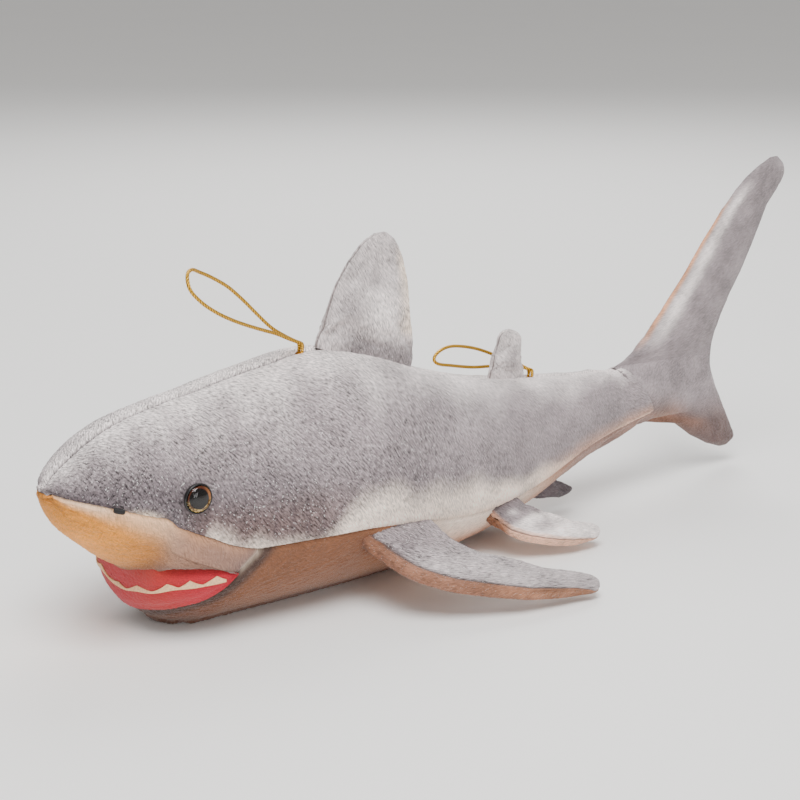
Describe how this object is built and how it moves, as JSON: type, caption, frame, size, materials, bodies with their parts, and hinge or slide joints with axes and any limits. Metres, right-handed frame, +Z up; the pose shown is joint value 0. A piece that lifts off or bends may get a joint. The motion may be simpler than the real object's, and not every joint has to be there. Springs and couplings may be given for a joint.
{
  "type": "plush shark",
  "caption": "Stuffed plush shark lying on its belly, with sewn fins, an open felt-toothed mouth and gold hanging loops.",
  "frame": {"origin": "on the floor under the middle of the whole animal", "axes": "+X from the nose towards the tail, +Y towards the animal's right side, +Z up"},
  "size_m": [0.5596, 0.255, 0.2073],
  "materials": {
    "grey_plush": "short-pile velboa, airbrushed",
    "cream_plush": "short-pile velboa",
    "pink_lining": "brushed knit",
    "cream_felt": "pressed felt",
    "fibre_fill": "polyester fibre fill",
    "black_thread": "satin stitch",
    "eye_black": "moulded, gloss",
    "eye_iris": "printed gold glitter",
    "eye_clear": "clear, polished",
    "washer_plastic": "moulded",
    "gold_cord": "metallised thread over elastic"
  },
  "bodies": {
    "torso": {"left_side_panel": "grey_plush", "right_side_panel": "grey_plush", "snout_panel": "cream_plush", "belly_panel": "cream_plush", "mouth_palate": "pink_lining", "mouth_floor": "pink_lining", "tooth_strip": "cream_felt", "body_stuffing": "fibre_fill", "left_eye_shell": "eye_black", "left_eye_iris": "eye_iris", "left_eye_dome": "eye_clear", "left_eye_washer": "washer_plastic", "right_eye_shell": "eye_black", "right_eye_iris": "eye_iris", "right_eye_dome": "eye_clear", "right_eye_washer": "washer_plastic", "left_nostril": "black_thread", "right_nostril": "black_thread", "front_knot": "gold_cord", "rear_knot": "gold_cord"},
    "tail": {"tail_left_panel": "grey_plush", "tail_right_panel": "grey_plush", "tail_lower_panel": "cream_plush", "tail_stuffing": "fibre_fill"},
    "caudal_fin": {"caudal_left_panel": "grey_plush", "caudal_right_panel": "grey_plush", "caudal_stuffing": "fibre_fill"},
    "first_dorsal_fin": {"first_dorsal_left_panel": "grey_plush", "first_dorsal_right_panel": "grey_plush", "first_dorsal_stuffing": "fibre_fill"},
    "second_dorsal_fin": {"second_dorsal_left_panel": "grey_plush", "second_dorsal_right_panel": "grey_plush", "second_dorsal_stuffing": "fibre_fill"},
    "anal_fin": {"anal_left_panel": "grey_plush", "anal_right_panel": "grey_plush", "anal_stuffing": "fibre_fill"},
    "front_loop": {"front_loop": "gold_cord"},
    "rear_loop": {"rear_loop": "gold_cord"},
    "left_pectoral_fin": {"left_pectoral_upper_panel": "grey_plush", "left_pectoral_lower_panel": "cream_plush", "left_pectoral_stuffing": "fibre_fill"},
    "left_pelvic_fin": {"left_pelvic_upper_panel": "grey_plush", "left_pelvic_lower_panel": "cream_plush", "left_pelvic_stuffing": "fibre_fill"},
    "right_pectoral_fin": {"right_pectoral_upper_panel": "grey_plush", "right_pectoral_lower_panel": "cream_plush", "right_pectoral_stuffing": "fibre_fill"},
    "right_pelvic_fin": {"right_pelvic_upper_panel": "grey_plush", "right_pelvic_lower_panel": "cream_plush", "right_pelvic_stuffing": "fibre_fill"}
  },
  "joints": [
    {"name": "tail_swing", "type": "hinge", "parent": "torso", "child": "tail", "pos_m": [0.10088, 0, 0.0441], "axis": [0, 0, 1], "range_deg": [-20, 20], "stiffness_Nm_per_rad": 0.4},
    {"name": "caudal_bend", "type": "hinge", "parent": "tail", "child": "caudal_fin", "pos_m": [0.1578, 0, 0.04521], "axis": [-0.5523, 0, 0.8336], "range_deg": [-20, 20], "stiffness_Nm_per_rad": 0.2},
    {"name": "first_dorsal_tip", "type": "hinge", "parent": "torso", "child": "first_dorsal_fin", "pos_m": [-0.10354, 0, 0.14646], "axis": [0.9518, 0, -0.3067], "range_deg": [-30, 30], "stiffness_Nm_per_rad": 0.12},
    {"name": "second_dorsal_tip", "type": "hinge", "parent": "torso", "child": "second_dorsal_fin", "pos_m": [0.02187, 0, 0.10347], "axis": [0.9897, 0, -0.1434], "range_deg": [-20, 20], "stiffness_Nm_per_rad": 0.03},
    {"name": "anal_fin_tip", "type": "hinge", "parent": "torso", "child": "anal_fin", "pos_m": [0.05293, 0, 0.01027], "axis": [0.918, 0, 0.3965], "range_deg": [-25, 25], "stiffness_Nm_per_rad": 0.02},
    {"name": "left_pectoral_lift", "type": "hinge", "parent": "torso", "child": "left_pectoral_fin", "pos_m": [-0.11855, -0.06627, 0.03593], "axis": [-0.9965, -0.0747, 0.0379], "range_deg": [0, 35], "stiffness_Nm_per_rad": 0.12},
    {"name": "right_pectoral_lift", "type": "hinge", "parent": "torso", "child": "right_pectoral_fin", "pos_m": [-0.11855, 0.06627, 0.03593], "axis": [0.9965, -0.0747, -0.0379], "range_deg": [0, 35], "stiffness_Nm_per_rad": 0.12},
    {"name": "left_pelvic_lift", "type": "hinge", "parent": "torso", "child": "left_pelvic_fin", "pos_m": [-0.01173, -0.04599, 0.0208], "axis": [-0.9775, -0.1932, -0.0848], "range_deg": [0, 30], "stiffness_Nm_per_rad": 0.05},
    {"name": "right_pelvic_lift", "type": "hinge", "parent": "torso", "child": "right_pelvic_fin", "pos_m": [-0.01173, 0.04599, 0.0208], "axis": [0.9775, -0.1932, 0.0848], "range_deg": [0, 30], "stiffness_Nm_per_rad": 0.05},
    {"name": "front_loop_swing", "type": "hinge", "parent": "torso", "child": "front_loop", "pos_m": [-0.11799, 0, 0.13869], "axis": [0, 1, 0], "range_deg": [-20, 45], "stiffness_Nm_per_rad": 0.004},
    {"name": "rear_loop_swing", "type": "hinge", "parent": "torso", "child": "rear_loop", "pos_m": [0.05296, 0, 0.09557], "axis": [0, 1, 0], "range_deg": [0, 50], "stiffness_Nm_per_rad": 0.004}
  ]
}
